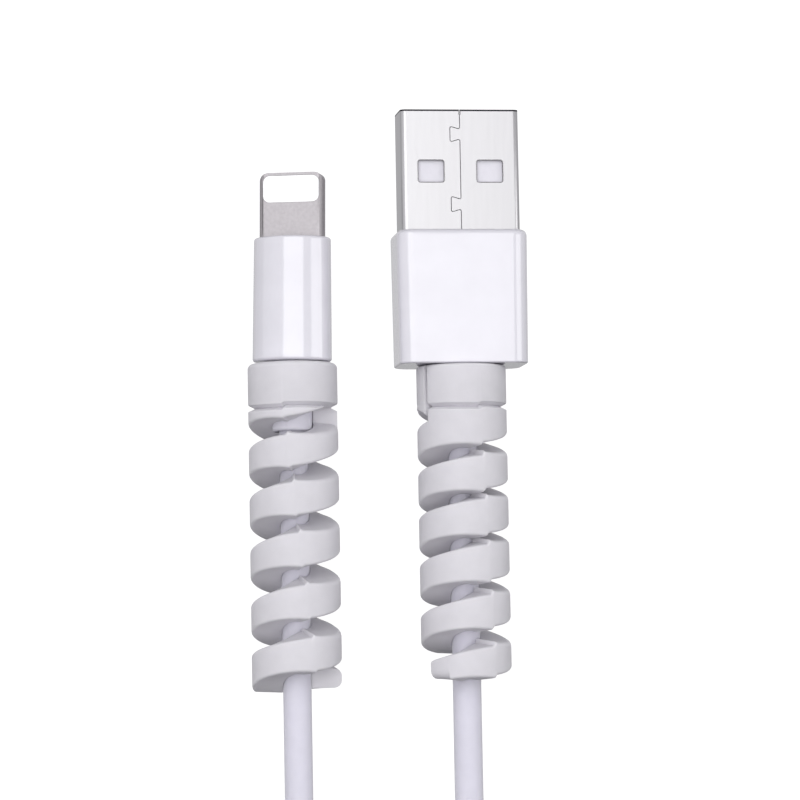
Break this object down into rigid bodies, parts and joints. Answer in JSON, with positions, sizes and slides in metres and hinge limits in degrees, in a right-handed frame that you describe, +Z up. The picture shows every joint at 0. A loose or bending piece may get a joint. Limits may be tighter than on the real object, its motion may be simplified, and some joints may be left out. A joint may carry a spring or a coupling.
{
  "type": "charging cable",
  "caption": "Charging cable with a USB-A plug and a flat reversible phone plug, a spiral protector on the cord at each plug, and the spare cord wound into a tied coil.",
  "frame": {"origin": "on the table, under the middle of the two plugs and their protectors", "axes": "+Y along both plugs towards their tips, +X from the phone plug to the USB plug, +Z up from the table"},
  "size_m": [0.045, 0.1241, 0.009],
  "materials": {
    "gloss_white": "polished white moulding",
    "usb_steel": "bright nickel-plated pressed steel",
    "tongue_steel": "bead-blasted nickel plating",
    "tongue_insert": "smooth white moulding",
    "white_insulator": "plain white moulding",
    "usb_contact_plating": "thin gold plating",
    "phone_contact_plating": "pale bright plating",
    "inner_mould": "plain moulding",
    "relief_elastomer": "matte white elastomer",
    "protector_silicone": "matte light grey silicone",
    "cord_jacket": "matte white elastomer jacket",
    "tie_fabric": "fine woven strap",
    "board": "green solder mask",
    "chip": "black mould compound",
    "capacitor_ceramic": "bare ceramic with tinned ends",
    "can_steel": "tinned sheet",
    "wire_red": "extruded insulation",
    "wire_white": "extruded insulation",
    "wire_green": "extruded insulation",
    "wire_black": "extruded insulation"
  },
  "bodies": {
    "cable": {"cord_coil": "cord_jacket", "cord_phone_stretch": "cord_jacket", "cord_tie": "tie_fabric", "cord_usb_stretch": "cord_jacket", "phone_board": "board", "phone_capacitors": "capacitor_ceramic", "phone_chip": "chip", "phone_contact_bottom_1": "phone_contact_plating", "phone_contact_bottom_2": "phone_contact_plating", "phone_contact_bottom_3": "phone_contact_plating", "phone_contact_bottom_4": "phone_contact_plating", "phone_contact_bottom_5": "phone_contact_plating", "phone_contact_bottom_6": "phone_contact_plating", "phone_contact_bottom_7": "phone_contact_plating", "phone_contact_bottom_8": "phone_contact_plating", "phone_contact_top_1": "phone_contact_plating", "phone_contact_top_2": "phone_contact_plating", "phone_contact_top_3": "phone_contact_plating", "phone_contact_top_4": "phone_contact_plating", "phone_contact_top_5": "phone_contact_plating", "phone_contact_top_6": "phone_contact_plating", "phone_contact_top_7": "phone_contact_plating", "phone_contact_top_8": "phone_contact_plating", "phone_housing": "gloss_white", "phone_inner_mould": "inner_mould", "phone_plug_frame": "tongue_steel", "phone_plug_insert": "tongue_insert", "phone_shield_can": "can_steel", "phone_strain_relief": "relief_elastomer", "phone_wire_1": "wire_red", "phone_wire_2": "wire_white", "phone_wire_3": "wire_green", "phone_wire_4": "wire_black", "usb_contact_1": "usb_contact_plating", "usb_contact_2": "usb_contact_plating", "usb_contact_3": "usb_contact_plating", "usb_contact_4": "usb_contact_plating", "usb_housing": "gloss_white", "usb_inner_mould": "inner_mould", "usb_insulator": "white_insulator", "usb_shell": "usb_steel", "usb_strain_relief": "relief_elastomer", "usb_wire_1": "wire_red", "usb_wire_2": "wire_white", "usb_wire_3": "wire_green", "usb_wire_4": "wire_black"},
    "usb_end_protector": {"usb_end_protector": "protector_silicone"},
    "phone_end_protector": {"phone_end_protector": "protector_silicone"}
  },
  "joints": [
    {"name": "usb_protector_slide", "type": "slide", "parent": "cable", "child": "usb_end_protector", "axis": [0, -1, 0], "range_m": [0, 0.012]},
    {"name": "phone_protector_slide", "type": "slide", "parent": "cable", "child": "phone_end_protector", "axis": [0, -1, 0], "range_m": [0, 0.012]}
  ]
}
